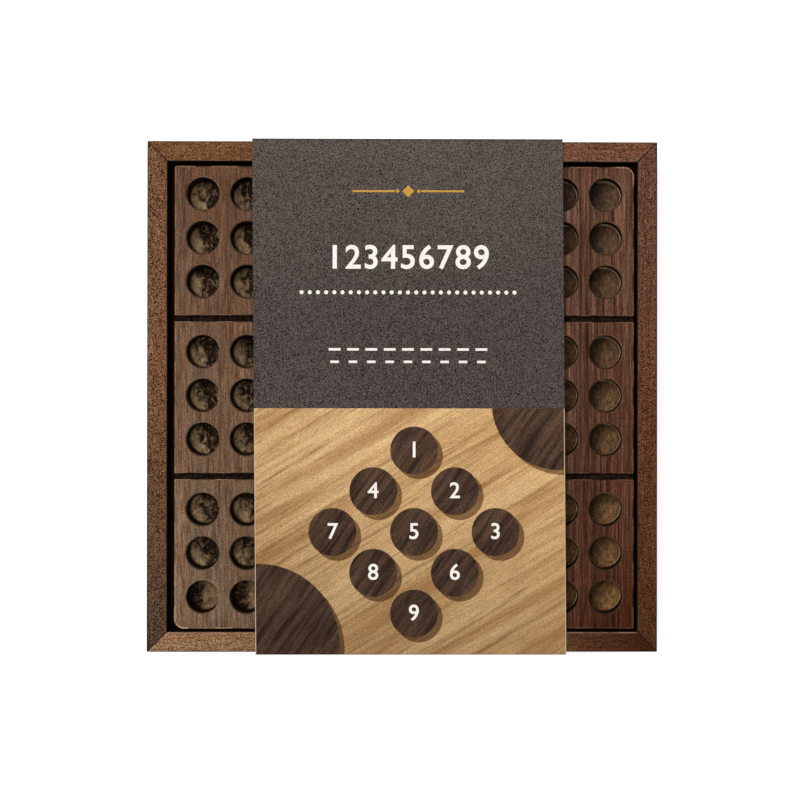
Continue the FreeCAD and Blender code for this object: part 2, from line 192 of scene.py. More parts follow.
def pattern(tree, stretch, seed=0, detail=3.0, roughness=0.55, bend=0.0, turn=0.0, place=None):
    """Noise from 0 to 1 with about stretch patches to the metre on each axis, turned about Z by degrees."""
    if place is None:
        place = tree.nodes.new("ShaderNodeTexCoord").outputs["Object"]
    if turn:
        turned = tree.nodes.new("ShaderNodeMapping")
        turned.inputs["Rotation"].default_value = (0, 0, math.radians(turn))
        plug(tree, turned.inputs["Vector"], place)
        place = turned.outputs[0]
    mapping = tree.nodes.new("ShaderNodeMapping")
    mapping.inputs["Scale"].default_value = stretch
    mapping.inputs["Location"].default_value = (seed * 3.7, seed * 1.9, seed * 2.3)
    plug(tree, mapping.inputs["Vector"], place)
    made = tree.nodes.new("ShaderNodeTexNoise")
    made.inputs["Scale"].default_value = 1.0
    made.inputs["Detail"].default_value = detail
    made.inputs["Roughness"].default_value = roughness
    made.inputs["Distortion"].default_value = bend
    plug(tree, made.inputs["Vector"], mapping.outputs[0])
    return made.outputs["Fac"]


def spread(tree, value, low, high, to_low=0.0, to_high=1.0):
    """A value mapped from one span to another and held inside it."""
    made = tree.nodes.new("ShaderNodeMapRange")
    for name, number in zip(("From Min", "From Max", "To Min", "To Max"), (low, high, to_low, to_high)):
        made.inputs[name].default_value = number
    plug(tree, made.inputs["Value"], value)
    return made.outputs[0]


def swing(tree, value, much, span=0.22):
    """Noise as a factor about 1, that goes by much to either side as the noise goes by span."""
    return spread(tree, value, 0.5 - span, 0.5 + span, 1.0 - much, 1.0 + much)


def blended(tree, share, first, second, how="MIX"):
    """Two colours blended by a share. Each colour, and the share, is a socket or plain values."""
    made = tree.nodes.new("ShaderNodeMix")
    made.data_type = "RGBA"
    made.blend_type = how
    for socket, value in ((made.inputs[0], share), (made.inputs[6], first), (made.inputs[7], second)):
        plug(tree, socket, value)
    return made.outputs[2]


def times(tree, tone, *factors):
    """A colour made lighter or darker by values."""
    for factor in factors:
        tone = blended(tree, 1.0, tone, factor, "MULTIPLY")
    return tone


def stain_swing(tree, value, much, span=0.22):
    """Noise as a colour factor about 1, as stain takes it: the dark side stays warm and the light is pale."""
    share = spread(tree, value, 0.5 - span, 0.5 + span)
    dark, light = ([max(1 + way * much * part, 0.03) for part in (0.86, 1.03, 1.14)] for way in (-1, 1))
    return blended(tree, share, (*dark, 1.0), (*light, 1.0))


def fade(tree, axis, reach, low, high, middle=0.0):
    """A colour that goes from low to high over reach metres each side of middle, along a wandering line."""
    drift = pattern(tree, (22, 22, 22), detail=2.0)
    wander = reckon(tree, "MULTIPLY_ADD", drift, reach * 0.9, -reach * 0.45 - middle)
    place = reckon(tree, "ADD", placed(tree, axis), wander)
    return blended(tree, spread(tree, place, -reach, reach), low, high)


def bump(tree, surface, height, depth, strength=1.0):
    """Relief of a real depth in metres on a shader."""
    made = tree.nodes.new("ShaderNodeBump")
    made.inputs["Strength"].default_value = strength
    made.inputs["Distance"].default_value = depth
    plug(tree, made.inputs["Height"], height)
    plug(tree, surface.inputs["Normal"], made.outputs[0])


def along(axis, fine, coarse):
    """Stretch of a grain pattern, coarse along its axis and fine across it."""
    return tuple(coarse if letter == axis else fine for letter in "xyz")


def grained(tree, surface, tone, axis, seed, streak, fibre, speck, gloss):
    """Grain, pores and sheen of stained wood over a colour, for the shader. Gives the finished colour."""
    bands = pattern(tree, along(axis, 95, 5), seed, 2.0)
    streaks = pattern(tree, along(axis, 640, 20), seed, 4.0, 0.62)
    fibres = pattern(tree, along(axis, 2300, 140), seed, 3.0, 0.6)
    specks = pattern(tree, SPECKS, seed, 0.0)
    warmth = spread(tree, pattern(tree, along(axis, 330, 12), seed + 1, 3.0), 0.38, 0.62)
    tone = times(tree, tone, blended(tree, warmth, (1.10, 0.98, 0.88, 1), (0.95, 0.99, 1.00, 1)))
    tone = times(tree, tone, swing(tree, bands, streak * 0.5), stain_swing(tree, streaks, streak))
    tone = times(tree, tone, stain_swing(tree, fibres, fibre), stain_swing(tree, specks, speck, 0.10))
    pores = spread(tree, pattern(tree, along(axis, 2000, 300), seed + 2, 2.0), 0.62, 0.72)
    tone = blended(tree, reckon(tree, "MULTIPLY", pores, 0.5), tone, stained(DEEP_STAIN_AND_SHADE))
    plug(tree, surface.inputs["Roughness"], spread(tree, fibres, 0.3, 0.7, gloss + 0.1, gloss - 0.08))
    surface.inputs["Specular IOR Level"].default_value = WOOD_SHINE
    bump(tree, surface, reckon(tree, "SUBTRACT", fibres, pores), 0.06 * MM, 0.6)
    return tone


def finish_node(name, material):
    """Give a carried-over node one material."""
    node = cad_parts[name]
    node.data.materials.clear()
    node.data.materials.append(material)


def rail_wood(name, axis, look, seed):
    """One rail: paler inner lip, dark mitres, painted shade on its outer edge and inside below the lip."""
    material, tree, surface = new_material(name + "_stain")
    low, high = (stained(tone) for tone in look["tones"])
    middle, reach = (length * MM for length in look["turn"])
    tone = fade(tree, axis, reach, low, high, middle)
    tone = grained(tree, surface, tone, axis, seed, 0.2, 0.4, look["speck"], 0.5)
    across, up = (reckon(tree, "ABSOLUTE", placed(tree, letter)) for letter in "xy")
    outwards = reckon(tree, "MAXIMUM", across, up)
    height = placed(tree, "z")
    most = look["lip_paleness"]
    # a paler line along the inner lip, in patches
    patchy = spread(tree, pattern(tree, (260, 260, 260), seed, 3.0), 0.36, 0.6, 0.2 * most, most)
    lip = spread(tree, outwards, rail_inside + 0.2 * RAIL_EASE, rail_inside + 0.7 * RAIL_EASE, 1.0, 0.0)
    tone = blended(tree, reckon(tree, "MULTIPLY", lip, patchy), tone, stained(PALE_LIP))
    # painted shade on the outer edge, and on the inner face below the lip, down the gap
    beyond = spread(tree, outwards, rail_outside - RAIL_EASE, rail_outside, 0.0, 0.75)
    is_inside = spread(tree, outwards, rail_inside, rail_inside + 0.3 * RAIL_EASE, 1.0, 0.0)
    is_low = spread(tree, height, rail_top - 2 * RAIL_EASE, rail_top - RAIL_EASE, 0.95, 0.0)
    painted_shade = reckon(tree, "MAXIMUM", beyond, reckon(tree, "MULTIPLY", is_inside, is_low))
    from_mitre = reckon(tree, "ABSOLUTE", reckon(tree, "SUBTRACT", across, up))
    in_mitre = spread(tree, from_mitre, GLUE_LINE * 0.5, GLUE_LINE * 1.5, 0.85, 0.0)
    dark = reckon(tree, "MAXIMUM", painted_shade, in_mitre)
    plug(tree, surface.inputs["Base Color"], blended(tree, dark, tone, stained(DEEP_STAIN_AND_SHADE)))
    return material


for seed, (name, look) in zip(RAIL_SEEDS, RAIL_LOOKS.items()):
    axis = "y" if name in ("rail_left", "rail_right") else "x"
    finish_node(name, rail_wood(name, axis, look, seed))

# The plank is one board of dark hardwood with its grain front to back. It is sawn with two grooves
# each way, bored with blind holes on a drill press, eased by hand and stained, worn pale on its edges.
GROOVE_WIDTH = 1.85 * MM
GROOVE_DEPTH = 2.5 * MM
HOLE_RADIUS = 5.0 * MM
HOLE_DEPTH = 9.0 * MM
HOLE_PITCH = 13.4 * MM
BLOCK_PITCH = 48.3 * MM
HOLE_SHIFT = 0.65 * MM
PLANK_ROUND = 3.0 * MM
PLANK_NIP = 0.6 * MM
PLANK_EASE = 0.5 * MM
RIM_EASE = 0.4 * MM
SAW_EASE = 0.25 * MM
BIT_ROUND = 1.3 * MM
FLOOR_TEAR = 0.35 * MM
PLANK_TONES = {"back": ((98, 71, 54), (99, 72, 60)), "front": ((119, 98, 80), (64, 36, 16))}
EDGE_TONES = {"back": ((132, 106, 88), (120, 90, 72)), "front": ((136, 114, 94), (96, 68, 52))}
# hole floor tones, light and shade painted in: 'torn' fills the painted shade, 'pale' is painted lit
HOLE_TONES = {
    # each right-hand pair goes from painted lit to painted shade
    "front_right": ((154, 114, 68), (92, 70, 54)),
    "back_right": ((108, 84, 66), (72, 64, 66)),
    "torn": ((26, 18, 13), (104, 78, 56)),
    "pale": ((176, 146, 110), (142, 112, 82)),
}
# a painted highlight: the glint on the right-hand holes' walls
PAINTED_GLINT = (220, 192, 160)
# hole walls, darkened as painted shade
DARK_WALL = (30, 19, 13)
plank_low, plank_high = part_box("peg_board")
plank_middle = (plank_low + plank_high) / 2
plank_size = plank_high - plank_low
# corners that are worn paler, how far the wear reaches and how strong it is
WORN_CORNERS = ((plank_high, 9.0 * MM, 2.4), (plank_low, 26.0 * MM, 2.0))


def take(thing):
    """Make one object the only one selected, and the active one."""
    bpy.ops.object.select_all(action="DESELECT")
    thing.select_set(True)
    bpy.context.view_layer.objects.active = thing


def settle(thing):
    """Put an object's place, turn and scale into its mesh."""
    take(thing)
    bpy.ops.object.transform_apply(location=True, rotation=True, scale=True)


def edit_none(thing, mode):
    """Clear a mesh's selection in one select mode, and leave the object out of edit mode."""
    take(thing)
    bpy.ops.object.mode_set(mode="EDIT")
    bpy.ops.mesh.select_mode(type=mode)
    bpy.ops.mesh.select_all(action="DESELECT")
    bpy.ops.object.mode_set(mode="OBJECT")


def pick_edges(thing, wanted):
    """Go into edit mode with the edges selected whose two ends pass wanted."""
    edit_none(thing, "EDGE")
    points = thing.data.vertices
    for edge in thing.data.edges:
        edge.select = wanted(points[edge.vertices[0]].co, points[edge.vertices[1]].co)
    bpy.ops.object.mode_set(mode="EDIT")


def pick_faces(thing, wanted):
    """Go into edit mode with the faces selected that pass wanted."""
    edit_none(thing, "FACE")
    for face in thing.data.polygons:
        face.select = wanted(face)
    bpy.ops.object.mode_set(mode="EDIT")


def leave_edit():
    """Go back to object mode."""
    bpy.ops.object.mode_set(mode="OBJECT")


def join(things, name):
    """Join objects into the first of them."""
    bpy.ops.object.select_all(action="DESELECT")
    for thing in things:
        thing.select_set(True)
    bpy.context.view_layer.objects.active = things[0]
    if len(things) > 1:
        bpy.ops.object.join()
    things[0].name = name
    return things[0]


def copy_of(thing, name):
    """A copy with its own mesh."""
    made = thing.copy()
    made.data = thing.data.copy()
    made.name = name
    bpy.context.scene.collection.objects.link(made)
    return made


def modify(thing, kind, **settings):
    """Give an object a modifier with these settings, and apply it."""
    modifier = thing.modifiers.new(kind.lower(), kind)
    for name, setting in settings.items():
        setattr(modifier, name, setting)
    take(thing)
    bpy.ops.object.modifier_apply(modifier=modifier.name)


def cut(thing, cutter):
    """Cut one mesh out of another, with the cutter's materials on the cut, and throw the cutter away."""
    modify(
        thing,
        "BOOLEAN",
        operation="DIFFERENCE",
        solver="EXACT",
        material_mode="TRANSFER",
        object=cutter,
    )
    bpy.data.objects.remove(cutter)


def shade(thing, degrees=35):
    """Shade smooth, with edges sharper than an angle left sharp."""
    take(thing)
    bpy.ops.object.shade_smooth_by_angle(angle=math.radians(degrees))


def plank_wood(name, tones, seed, streak, fibre, gloss, is_edge=False):
    """The plank's stained wood, its colour different at each corner, with the grain along Y."""
    material, tree, surface = new_material(name)
    ends = [fade(tree, "x", plank_size.x / 2, *(stained(tone) for tone in tones[end])) for end in tones]
    tone = fade(tree, "y", plank_size.y / 2, ends[1], ends[0])
    tone = grained(tree, surface, tone, "y", seed, streak, fibre, 0.36, gloss)
    if is_edge:
        for corner, reach, wear in WORN_CORNERS:
            to_corner = [reckon(tree, "SUBTRACT", placed(tree, axis), getattr(corner, axis)) for axis in "xy"]
            at_corner = spread(tree, length_of(tree, *to_corner), 0.3 * reach, reach, wear, 1.0)
            tone = times(tree, tone, at_corner)
        tone = times(tree, tone, rim_wear(tree))
    else:
        lines = pattern(tree, along("y", 1100, 16), seed + 5, 4.0, 0.75)
        rightness = spread(tree, placed(tree, "x"), -20 * MM, 60 * MM)
        strong = times(tree, tone, stain_swing(tree, lines, 0.85, 0.16))
        tone = blended(tree, rightness, tone, strong)
    plug(tree, surface.inputs["Base Color"], tone)
    return material


def from_hole(tree, axis):
    """Distance along one axis from the middle of the nearest peg hole."""
    middle = plank_middle.x if axis == "x" else plank_middle.y + HOLE_SHIFT
    place = reckon(tree, "SUBTRACT", placed(tree, axis), middle)
    in_block = reckon(tree, "WRAP", place, BLOCK_PITCH / 2, -BLOCK_PITCH / 2)
    return reckon(tree, "WRAP", in_block, HOLE_PITCH / 2, -HOLE_PITCH / 2)


def length_of(tree, across, up):
    """How far a place is from a middle, from its distances along two axes."""
    squares = [reckon(tree, "MULTIPLY", v, v) for v in (across, up)]
    return reckon(tree, "SQRT", reckon(tree, "ADD", *squares))


def rim_wear(tree):
    """A hole's rim is darker than other edges, with a painted highlight strongest at its upper right."""
    across, up = from_hole(tree, "x"), from_hole(tree, "y")
    is_rim = spread(tree, length_of(tree, across, up), 1.1 * HOLE_RADIUS, 1.2 * HOLE_RADIUS, 1.0, 0.0)
    # painted highlight: each rim grows lighter towards its upper right
    side = spread(tree, reckon(tree, "ADD", across, up), -HOLE_RADIUS, HOLE_RADIUS, -0.75, -0.35)
    return reckon(tree, "MULTIPLY_ADD", is_rim, side, 1.0)


def bored_wood():
    """Bored wood, with light and shade painted into the colour of its floors and walls.

    On the left the bit tore the floors; each floor is painted lit on one side and shaded on the other,
    with painted shade at the foot of the wall. On the right it left smooth floors, painted darker towards
    the upper left, and a painted lit lower wall with a painted glint along its top. The walls above are
    painted dark as shade.
    """
    material, tree, surface = new_material("bored_wood")
    across, up = from_hole(tree, "x"), from_hole(tree, "y")
    rightness = spread(tree, placed(tree, "x"), -20 * MM, 20 * MM)
    fibres = pattern(tree, (2600, 1500, 900), 4, 4.0, 0.7)
    patches = pattern(tree, (430, 300, 300), 3, 3.0, 0.6, 0.8)
    # each floor is painted lit on one side and shaded on the other, split along a slant, ragged where they
    # meet
    slant = reckon(tree, "MULTIPLY_ADD", up, 0.4, across)
    on_left = spread(tree, slant, -3.8 * MM, 0.4 * MM)
    # in the front row the painted lit and the painted shaded halves change sides
    in_front_row = spread(tree, placed(tree, "y"), -58 * MM, -55 * MM, 1.0, 0.0)
    on_left = blended(tree, in_front_row, on_left, spread(tree, across, -1.5 * MM, 1.0 * MM, 1.0, 0.0))
    on_right = spread(tree, across, -4.4 * MM, 1.2 * MM, 0.6, 0.1)
    ragged = reckon(tree, "MULTIPLY", reckon(tree, "SUBTRACT", patches, 0.5), 3.0)
    on_left = reckon(tree, "ADD", on_left, ragged)
    on_right = reckon(tree, "MULTIPLY_ADD", ragged, 0.7, on_right)
    # the share of painted shade on each floor, 0 where it is painted lit
    shaded_share = spread(tree, blended(tree, rightness, on_left, on_right), 0.0, 0.9)
    tones = {name: [colour(*tone) for tone in pair] for name, pair in HOLE_TONES.items()}
    front_right = blended(tree, shaded_share, *tones["front_right"])
    back_right = blended(tree, shaded_share, *tones["back_right"])
    # on the left, torn fibres fill the painted shade beside the painted lit floor
    torn = blended(tree, spread(tree, fibres, 0.52, 0.68), *tones["torn"])
    pale = blended(tree, in_front_row, *tones["pale"])
    left = blended(tree, shaded_share, pale, torn)
    right = fade(tree, "y", plank_size.y / 2, front_right, back_right)
    mottle = pattern(tree, (1000, 560, 560), 12, 4.0, 0.7)
    # on the right each floor is painted darker towards its upper left, as shade
    lean = reckon(tree, "MULTIPLY_ADD", up, -0.6, across)
    shade_gradient = blended(tree, rightness, (1, 1, 1, 1), spread(tree, lean, -5 * MM, 3 * MM, 0.22, 0.8))
    tone = blended(tree, rightness, left, right)
    tone = times(tree, tone, swing(tree, fibres, 0.55), swing(tree, mottle, 0.6), shade_gradient)
    # the dark upper wall, painted shade, starts highest on the two sides, and lowest at the back
    # and the front
    rise = reckon(tree, "SUBTRACT", placed(tree, "z"), plank_high.z - HOLE_DEPTH)
    dark_from = reckon(tree, "MULTIPLY_ADD", reckon(tree, "ABSOLUTE", up), -0.7, 5.5 * MM)
    above = reckon(tree, "SUBTRACT", rise, dark_from)
    # a painted glint along the top of the painted lit lower wall on the right
    glint = reckon(tree, "MULTIPLY", rightness, spread(tree, slant, -0.5 * MM, 2.5 * MM))
    glint = reckon(tree, "MULTIPLY", glint, spread(tree, mottle, 0.35, 0.55, 0.2, 0.9))
    glint = reckon(tree, "MULTIPLY", glint, spread(tree, above, -2.2 * MM, -1.6 * MM))
    tone = blended(tree, glint, tone, colour(*PAINTED_GLINT))
    # painted shade: on the left from the foot of the wall up, on the right above the painted lit lower wall
    at_foot = spread(tree, length_of(tree, across, up), 0.84 * HOLE_RADIUS, 0.98 * HOLE_RADIUS)
    on_wall = blended(tree, rightness, at_foot, spread(tree, above, 0.0, 0.5 * MM))
    wall = times(tree, colour(*DARK_WALL), swing(tree, fibres, 0.5))
    plug(tree, surface.inputs["Base Color"], blended(tree, on_wall, tone, wall))
    surface.inputs["Roughness"].default_value = 0.75
    surface.inputs["Specular IOR Level"].default_value = WOOD_SHINE
    bump(tree, surface, reckon(tree, "ADD", fibres, patches), 0.25 * MM, 0.7)
    return material


def sawn_wood():
    """The floors and sides of the saw cuts, rough, soaked dark and darkened further as painted shade."""
    material, tree, surface = new_material("sawn_wood")
    rough = pattern(tree, (1100, 1100, 1100), 8, 4.0, 0.65)
    # tones darker than the stain alone, standing partly for the shade in the narrow cuts
    tone = blended(tree, spread(tree, rough, 0.46, 0.72), colour(18, 11, 8), colour(62, 42, 28))
    plug(tree, surface.inputs["Base Color"], tone)
    surface.inputs["Roughness"].default_value = 0.85
    surface.inputs["Specular IOR Level"].default_value = WOOD_SHINE
    bump(tree, surface, rough, 0.25 * MM, 0.8)
    return material


bpy.ops.mesh.primitive_cube_add(size=1, location=plank_middle)
plank = bpy.context.object
plank.name = "plank"
plank.scale = plank_size
settle(plank)
worn_edge = plank_wood("worn_edge", EDGE_TONES, 6, 0.25, 0.4, 0.4, is_edge=True)
for material in (plank_wood("plank_stain", PLANK_TONES, 5, 0.3, 0.6, 0.46), worn_edge):
    plank.data.materials.append(material)


def is_corner(a, b, same_sign):
    """Is this an upright corner edge, either of the two well rounded corners or of the other two?"""
    upright = (a.xy - b.xy).length < 0.001 * MM
    offset = a - plank_middle
    reach = plank_size / 2
    outermost = abs(abs(offset.x) - reach.x) + abs(abs(offset.y) - reach.y) < 0.01 * MM
    return upright and outermost and (offset.x * offset.y > 0) == same_sign


pick_edges(plank, lambda a, b: is_corner(a, b, True))
bpy.ops.mesh.bevel(offset=PLANK_ROUND, segments=8, affect="EDGES")
leave_edit()
pick_edges(plank, lambda a, b: is_corner(a, b, False))
bpy.ops.mesh.bevel(offset=PLANK_NIP, segments=3, affect="EDGES")
leave_edit()
pick_edges(plank, lambda a, b: abs(a.z - b.z) < 0.001 * MM)
bpy.ops.mesh.bevel(offset=PLANK_EASE, segments=3, affect="EDGES", material=1)
leave_edit()

sawn = sawn_wood()


def raise_cutter(cutter, depth, ease):
    """Extrude a flat cutter up to the plank's top, where it opens in a quarter round, and 2 mm beyond."""
    take(cutter)
    bpy.ops.object.mode_set(mode="EDIT")
    bpy.ops.mesh.select_all(action="SELECT")
    reached = 0.0
    for level in (depth - ease, depth - 0.5 * ease, depth - 0.134 * ease, depth, depth + 2 * MM):
        bpy.ops.mesh.extrude_region_move(TRANSFORM_OT_translate={"value": (0, 0, level - reached)})
        reached = level
    bpy.ops.mesh.select_all(action="SELECT")
    bpy.ops.mesh.normals_make_consistent(inside=False)
    leave_edit()
    cutter.data.materials.append(worn_edge)
    for face in cutter.data.polygons:
        face.material_index = 1 if depth - ease < face.center.z < depth else 0


def opening(level, depth, ease):
    """How much wider than below a cutter is at a level in the quarter round at its top."""
    share = min(max((level - depth + ease) / ease, 0.0), 1.0)
    return ease * (1 - math.sqrt(1 - share * share))


def saw_path(at, along_x):
    """A saw's path right across the plank, its floor and sides torn a little by the blade."""
    run = plank_size.x if along_x else plank_size.y
    bpy.ops.mesh.primitive_grid_add(x_subdivisions=200, y_subdivisions=2, size=1)
    path = bpy.context.object
    path.scale = (run + 2 * PLANK_ROUND, GROOVE_WIDTH, 1)
    settle(path)
    path.data.materials.append(sawn)
    raise_cutter(path, GROOVE_DEPTH, SAW_EASE)
    for point in path.data.vertices:
        is_floor = point.co.z < 0.5 * GROOVE_DEPTH
        point.co.y *= 1 + opening(point.co.z, GROOVE_DEPTH, SAW_EASE) / (GROOVE_WIDTH / 2)
        rough = noise.noise_vector(Vector((point.co.x * 700, point.co.y * 700, at * 900)))
        point.co.y += rough.y * 0.12 * MM
        if is_floor:
            point.co.z += rough.z * FLOOR_TEAR
    path.rotation_euler.z = 0 if along_x else math.pi / 2
    path.location = (plank_middle.x, at, 0) if along_x else (at, plank_middle.y, 0)
    path.location.z = plank_high.z - GROOVE_DEPTH
    settle(path)
    return path


for along_x in (True, False):
    centre = plank_middle.y if along_x else plank_middle.x
    paths = [saw_path(centre + side * BLOCK_PITCH / 2, along_x) for side in (-1, 1)]
    cut(plank, join(paths, "saw"))

# one drill bit with a rounded corner, its end ringed so that each hole's floor can be torn its own way
bpy.ops.mesh.primitive_circle_add(vertices=48, radius=HOLE_RADIUS, fill_type="NGON")
bit = bpy.context.object
bit.data.materials.append(bored_wood())
raise_cutter(bit, HOLE_DEPTH, RIM_EASE)
for point in bit.data.vertices:
    point.co.xy *= 1 + opening(point.co.z, HOLE_DEPTH, RIM_EASE) / HOLE_RADIUS
pick_edges(bit, lambda a, b: max(a.z, b.z) < 0.1 * MM)
bpy.ops.mesh.bevel(offset=BIT_ROUND, segments=4, affect="EDGES")
leave_edit()
pick_faces(bit, lambda face: face.center.z < 0.01 * MM)
for _ in range(3):
    bpy.ops.mesh.inset(thickness=(HOLE_RADIUS - BIT_ROUND) / 4.5)
leave_edit()

bits = []
offsets = [block * BLOCK_PITCH + step * HOLE_PITCH for block in (-1, 0, 1) for step in (-1, 0, 1)]
hole_floor = plank_high.z - HOLE_DEPTH
for across in offsets:
    for up in offsets:
        centre = Vector((plank_middle.x + across, plank_middle.y + HOLE_SHIFT + up, hole_floor))
        hole = copy_of(bit, "bit")
        hole.data.transform(Matrix.Translation(centre))
        calm = 0.65 - 0.35 * across / offsets[-1]
        for point in hole.data.vertices:
            inwards = 1 - (point.co - centre).length / HOLE_RADIUS
            if inwards > 0.1:
                ragged = noise.noise(Vector((point.co.x * 700, point.co.y * 260, 3.0)))
                point.co.z += ragged * FLOOR_TEAR * calm
        bits.append(hole)
bpy.data.objects.remove(bit)
cut(plank, join(bits, "bits"))
shade(plank)
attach(plank, "board")
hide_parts("peg_board")

# The ledge strips and the plywood bottom are hidden inside, with a thinner coat of the same stain. The
# ledge strips, which show at the foot of the gap round the plank, are darkened as painted shade. The
# bottom is pinned to the rails from below with steel pins.
# ledge tones, darkened as painted shade where the ledges show at the foot of the gap
LEDGE_STAIN_AND_SHADE = ((72, 50, 35), (68, 47, 33))
PLY_TONES = ((134, 98, 66), (120, 86, 58))


def thin_stain(name, axis, tones, reach, seed):
    """A thin coat of stain on wood that doesn't show."""
    material, tree, surface = new_material(name)
    tone = fade(tree, axis, reach, *(stained(tone) for tone in tones))
    tone = grained(tree, surface, tone, axis, seed, 0.2, 0.35, 0.3, 0.62)
    plug(tree, surface.inputs["Base Color"], tone)
    return material


for number, side in enumerate(("left", "right", "front", "back"), 11):
    axis = "y" if side in ("left", "right") else "x"
    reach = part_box("ledge_" + side)[1]["xyz".index(axis)]
    finish_node("ledge_" + side, thin_stain("ledge_stain_and_shade_" + side, axis, LEDGE_STAIN_AND_SHADE, reach, number))
finish_node("base_panel", thin_stain("ply_stain", "y", PLY_TONES, plank_size.y / 2, 15))


def steel_wire():
    """Drawn steel, with fine marks along the wire."""
    material, tree, surface = new_material("steel_wire")
    surface.inputs["Metallic"].default_value = 1.0
    brush = pattern(tree, (4000, 900, 4000))
    tone = blended(tree, brush, colour(160, 160, 156), colour(196, 196, 192))
    plug(tree, surface.inputs["Base Color"], tone)
    plug(tree, surface.inputs["Roughness"], spread(tree, brush, 0.3, 0.7, 0.28, 0.45))
    bump(tree, surface, brush, 0.01 * MM, 0.4)
    return material


steel = steel_wire()
finish_node("base_brads", steel)
finish_node("guide_staples", steel)

# The card sleeve is one strip of board, folded round the box and glued. Its outside is printed charcoal.
# From just in front of the middle, on over the front fold and down, the print is a pale oak grain.
CARD = 0.5 * MM
SKEW = 1.24 * MM
FOLD = 0.8 * MM
PRINT_EDGE = -3.6 * MM
SAG = 0.1 * MM
INK_ROOM = 0.06 * MM
CUT_MARGIN = 0.28 * MM
OAK_TURN = -31
LARGE_DISCS = ((46 * MM, -1.6 * MM, 21 * MM), (-46 * MM, -76 * MM, 25 * MM))
SHADOW_STEP = 1.5 * MM
PRINT_BLUR = 0.2 * MM
PRINT_SHADOW = (0.36, 0.30, 0.26, 1)
card_low, card_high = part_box("card_sleeve")
card_middle = (card_low + card_high) / 2
card_size = card_high - card_low
card_width = card_size.x - SKEW


def card_top(x, y):
    """Level of the sleeve's top face under the ink. It sags a little between the rails."""
    dip = max(0.0, 1 - (y / (card_size.y / 2)) ** 2) * (0.75 + 0.25 * math.cos(x * 55 + 0.6))
    return card_high.z - INK_ROOM - SAG * dip


def card_tooth(tree, surface):
    """The salt and pepper of uncoated board, as noise and as relief."""
    tooth = pattern(tree, SPECKS, 0, 0.0)
    surface.inputs["Roughness"].default_value = 0.78
    surface.inputs["Specular IOR Level"].default_value = WOOD_SHINE
    bump(tree, surface, tooth, 0.02 * MM, 0.5)
    return tooth


def charcoal_print():
    """Uncoated charcoal print, a little lighter at the back and dark along the folds."""
    material, tree, surface = new_material("charcoal_print")
    tooth = card_tooth(tree, surface)
    tone = fade(tree, "y", 30 * MM, stained((80, 72, 70)), stained((92, 84, 80)), 55 * MM)
    clouds = pattern(tree, (26, 26, 26), 2, 2.0)
    tone = times(tree, tone, swing(tree, clouds, 0.07), swing(tree, tooth, 0.8, 0.14))
    to_fold = reckon(tree, "SUBTRACT", card_size.y / 2, reckon(tree, "ABSOLUTE", placed(tree, "y")))
    on_fold = spread(tree, to_fold, 0.1 * MM, 1.1 * MM, 0.55, 0.0)
    plug(tree, surface.inputs["Base Color"], blended(tree, on_fold, tone, colour(52, 46, 44)))
    return material


def unfolded(tree):
    """Y on the flat print, which goes on over the front fold and down."""
    return reckon(tree, "ADD", placed(tree, "y"), reckon(tree, "SUBTRACT", placed(tree, "z"), card_high.z))


def oak_tone(tree, tooth):
    """A printed oak table top, its grain rising to the right, its light falling off towards the front."""
    flat = tree.nodes.new("ShaderNodeCombineXYZ")
    for socket, value in zip(flat.inputs, (placed(tree, "x"), unfolded(tree), card_high.z)):
        plug(tree, socket, value)
    place = flat.outputs[0]
    bands = pattern(tree, (9, 120, 9), 1, 3.0, 0.55, 0.5, OAK_TURN, place)
    lines = pattern(tree, (26, 640, 26), 2, 4.0, 0.68, 0.0, OAK_TURN, place)
    fine = pattern(tree, (110, 2300, 110), 3, 3.0, 0.6, 0.0, OAK_TURN, place)
    tone = blended(tree, spread(tree, bands, 0.34, 0.66), colour(182, 136, 86), colour(226, 188, 136))
    tone = blended(tree, spread(tree, lines, 0.50, 0.70, 0.0, 0.75), tone, colour(142, 98, 58))
    to_front = spread(tree, placed(tree, "y"), -79 * MM, -14 * MM, 0.58, 0.90)
    to_right = spread(tree, placed(tree, "x"), -46 * MM, 50 * MM, 0.94, 1.10)
    return times(tree, tone, to_front, to_right, swing(tree, fine, 0.2), swing(tree, tooth, 0.28))


def disc_tone(tree, tooth):
    """Dark stained wood as it is printed on the discs, lighter at the back."""
    grain = pattern(tree, (700, 60, 60), 9, 4.0, 0.6, 0.2, 35)
    tone = blended(tree, spread(tree, grain, 0.35, 0.65), colour(46, 32, 26), colour(92, 69, 55))
    to_front = spread(tree, placed(tree, "y"), -79 * MM, -5 * MM, 0.72, 1.08)
    return times(tree, tone, to_front, swing(tree, tooth, 0.45))


def on_large_disc(tree, step):
    """1 on the large printed discs, moved by step to the lower right."""
    whole = 0.0
    for x, y, radius in LARGE_DISCS:
        across = reckon(tree, "SUBTRACT", placed(tree, "x"), card_middle.x + x + step)
        up = reckon(tree, "SUBTRACT", unfolded(tree), y - step)
        disc_here = spread(tree, length_of(tree, across, up), radius - PRINT_BLUR, radius, 1.0, 0.0)
        whole = reckon(tree, "MAXIMUM", whole, disc_here)
    return whole


